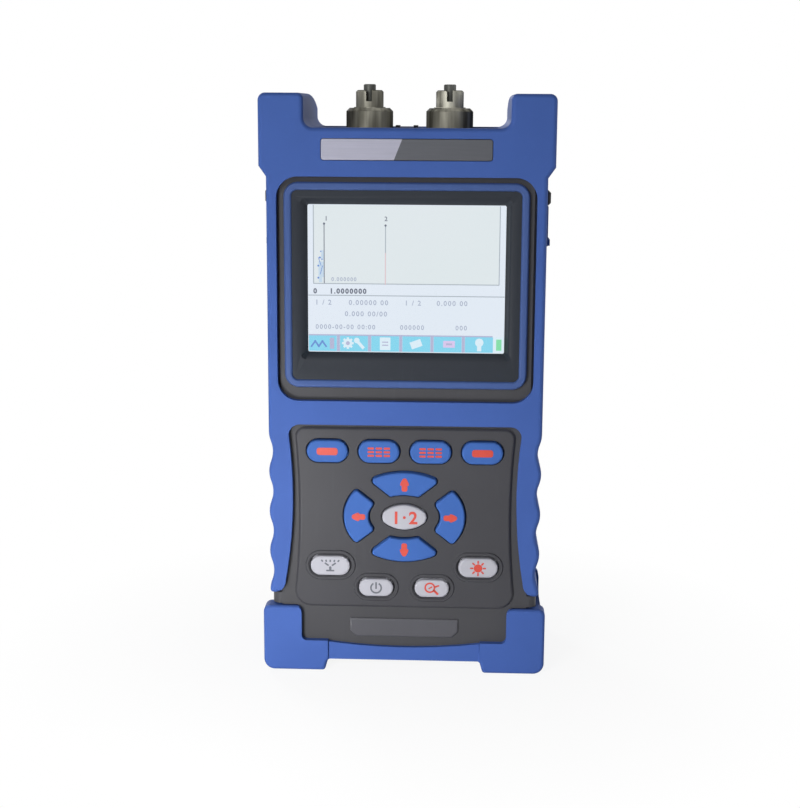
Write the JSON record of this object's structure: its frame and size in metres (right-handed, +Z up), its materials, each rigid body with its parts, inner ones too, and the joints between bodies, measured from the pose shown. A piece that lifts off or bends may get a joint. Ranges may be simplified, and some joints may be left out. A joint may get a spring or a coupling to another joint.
{
  "type": "optical time domain reflectometer",
  "caption": "Handheld fibre tester with a rubber jacket, display, keypad, optical ports between two horns, side covers, tilt stand and battery door.",
  "frame": {"origin": "bottom centre of the instrument's bounding box, where it stands on the feet of its lower boot", "axes": "+Z up along the instrument, towards the optical ports; +Y from the front face to the back; +X to the right seen from the front"},
  "size_m": [0.1036, 0.056, 0.2134],
  "materials": {
    "dark_plastic": "fine moulded texture",
    "blue_rubber": "soft matt",
    "plate_metal": "satin",
    "blue_plastic": "satin",
    "clear_window": "clear",
    "display": "lit",
    "steel": "bright",
    "circuit_board": "lacquered",
    "black_plastic": "plain",
    "black_rubber": "soft matt",
    "aluminium": "satin",
    "fibre": "smooth",
    "nickel": "turned",
    "blue_key": "satin",
    "light_key": "satin"
  },
  "bodies": {
    "instrument": {"front_casing": "dark_plastic", "rear_casing": "dark_plastic", "upper_jacket": "blue_rubber", "lower_boot": "blue_rubber", "nameplate": "plate_metal", "label_plate": "dark_plastic", "screen_trim": "blue_plastic", "screen_bezel": "dark_plastic", "display_window": "clear_window", "display_panel": "display", "keypad_fascia": "dark_plastic", "dome_sheet": "steel", "keypad_board": "circuit_board", "port_bracket": "steel", "data_socket": "black_plastic", "charging_socket": "black_plastic", "deck_socket": "black_plastic", "stand_pins": "steel", "battery_pack": "black_plastic", "case_screws": "steel", "main_board": "circuit_board", "optical_module": "aluminium", "fibre_coil": "fibre", "buzzer": "black_plastic", "port_1_barrel": "nickel", "port_1_sleeve": "nickel", "port_2_barrel": "nickel", "port_2_sleeve": "nickel", "left_cover_anchor": "black_rubber", "right_cover_anchor": "black_rubber"},
    "soft_key_1": {"soft_key_1": "blue_key"},
    "soft_key_2": {"soft_key_2": "blue_key"},
    "soft_key_3": {"soft_key_3": "blue_key"},
    "soft_key_4": {"soft_key_4": "blue_key"},
    "up_key": {"up_key": "blue_key"},
    "right_key": {"right_key": "blue_key"},
    "down_key": {"down_key": "blue_key"},
    "left_key": {"left_key": "blue_key"},
    "enter_key": {"enter_key": "light_key"},
    "lamp_key": {"lamp_key": "light_key"},
    "brightness_key": {"brightness_key": "light_key"},
    "power_key": {"power_key": "light_key"},
    "laser_key": {"laser_key": "light_key"},
    "lock_ring_1": {"port_1_ring": "nickel"},
    "lock_ring_2": {"port_2_ring": "nickel"},
    "stand": {"tilt_stand": "dark_plastic"},
    "deck_cover": {"deck_cover": "black_rubber"},
    "left_cover": {"left_cover": "blue_rubber"},
    "right_cover": {"right_cover": "blue_rubber"},
    "battery_door": {"battery_door": "dark_plastic", "door_screw": "steel"}
  },
  "joints": [
    {"name": "soft_key_1_press", "type": "slide", "parent": "instrument", "child": "soft_key_1", "axis": [0, 1, 0], "range_m": [0, 0.0008], "stiffness_N_per_m": 1200},
    {"name": "soft_key_2_press", "type": "slide", "parent": "instrument", "child": "soft_key_2", "axis": [0, 1, 0], "range_m": [0, 0.0008], "stiffness_N_per_m": 1200},
    {"name": "soft_key_3_press", "type": "slide", "parent": "instrument", "child": "soft_key_3", "axis": [0, 1, 0], "range_m": [0, 0.0008], "stiffness_N_per_m": 1200},
    {"name": "soft_key_4_press", "type": "slide", "parent": "instrument", "child": "soft_key_4", "axis": [0, 1, 0], "range_m": [0, 0.0008], "stiffness_N_per_m": 1200},
    {"name": "up_key_press", "type": "slide", "parent": "instrument", "child": "up_key", "axis": [0, 1, 0], "range_m": [0, 0.0008], "stiffness_N_per_m": 1200},
    {"name": "right_key_press", "type": "slide", "parent": "instrument", "child": "right_key", "axis": [0, 1, 0], "range_m": [0, 0.0008], "stiffness_N_per_m": 1200},
    {"name": "down_key_press", "type": "slide", "parent": "instrument", "child": "down_key", "axis": [0, 1, 0], "range_m": [0, 0.0008], "stiffness_N_per_m": 1200},
    {"name": "left_key_press", "type": "slide", "parent": "instrument", "child": "left_key", "axis": [0, 1, 0], "range_m": [0, 0.0008], "stiffness_N_per_m": 1200},
    {"name": "enter_key_press", "type": "slide", "parent": "instrument", "child": "enter_key", "axis": [0, 1, 0], "range_m": [0, 0.0008], "stiffness_N_per_m": 1200},
    {"name": "lamp_key_press", "type": "slide", "parent": "instrument", "child": "lamp_key", "axis": [0, 1, 0], "range_m": [0, 0.0008], "stiffness_N_per_m": 1200},
    {"name": "brightness_key_press", "type": "slide", "parent": "instrument", "child": "brightness_key", "axis": [0, 1, 0], "range_m": [0, 0.0008], "stiffness_N_per_m": 1200},
    {"name": "power_key_press", "type": "slide", "parent": "instrument", "child": "power_key", "axis": [0, 1, 0], "range_m": [0, 0.0008], "stiffness_N_per_m": 1200},
    {"name": "laser_key_press", "type": "slide", "parent": "instrument", "child": "laser_key", "axis": [0, 1, 0], "range_m": [0, 0.0008], "stiffness_N_per_m": 1200},
    {"name": "lock_ring_1_turn", "type": "hinge", "parent": "instrument", "child": "lock_ring_1", "pos_m": [-0.0145, 0, 0.201], "axis": [0, 0, 1], "continuous": true},
    {"name": "lock_ring_2_turn", "type": "hinge", "parent": "instrument", "child": "lock_ring_2", "pos_m": [0.0145, 0, 0.201], "axis": [0, 0, 1], "continuous": true},
    {"name": "stand_fold", "type": "hinge", "parent": "instrument", "child": "stand", "pos_m": [0, 0.02685, 0.172], "axis": [1, 0, 0], "range_deg": [0, 60]},
    {"name": "deck_cover_lift", "type": "hinge", "parent": "instrument", "child": "deck_cover", "pos_m": [0, 0.005, 0.19755], "axis": [-1, 0, 0], "range_deg": [0, 100]},
    {"name": "left_cover_lift", "type": "hinge", "parent": "instrument", "child": "left_cover", "pos_m": [-0.0501, -0.008, 0.171], "axis": [0, 1, 0], "range_deg": [0, 100]},
    {"name": "right_cover_lift", "type": "hinge", "parent": "instrument", "child": "right_cover", "pos_m": [0.0501, -0.008, 0.171], "axis": [0, -1, 0], "range_deg": [0, 100]},
    {"name": "battery_door_lift", "type": "slide", "parent": "instrument", "child": "battery_door", "axis": [0, 1, 0], "range_m": [0, 0.012]}
  ]
}
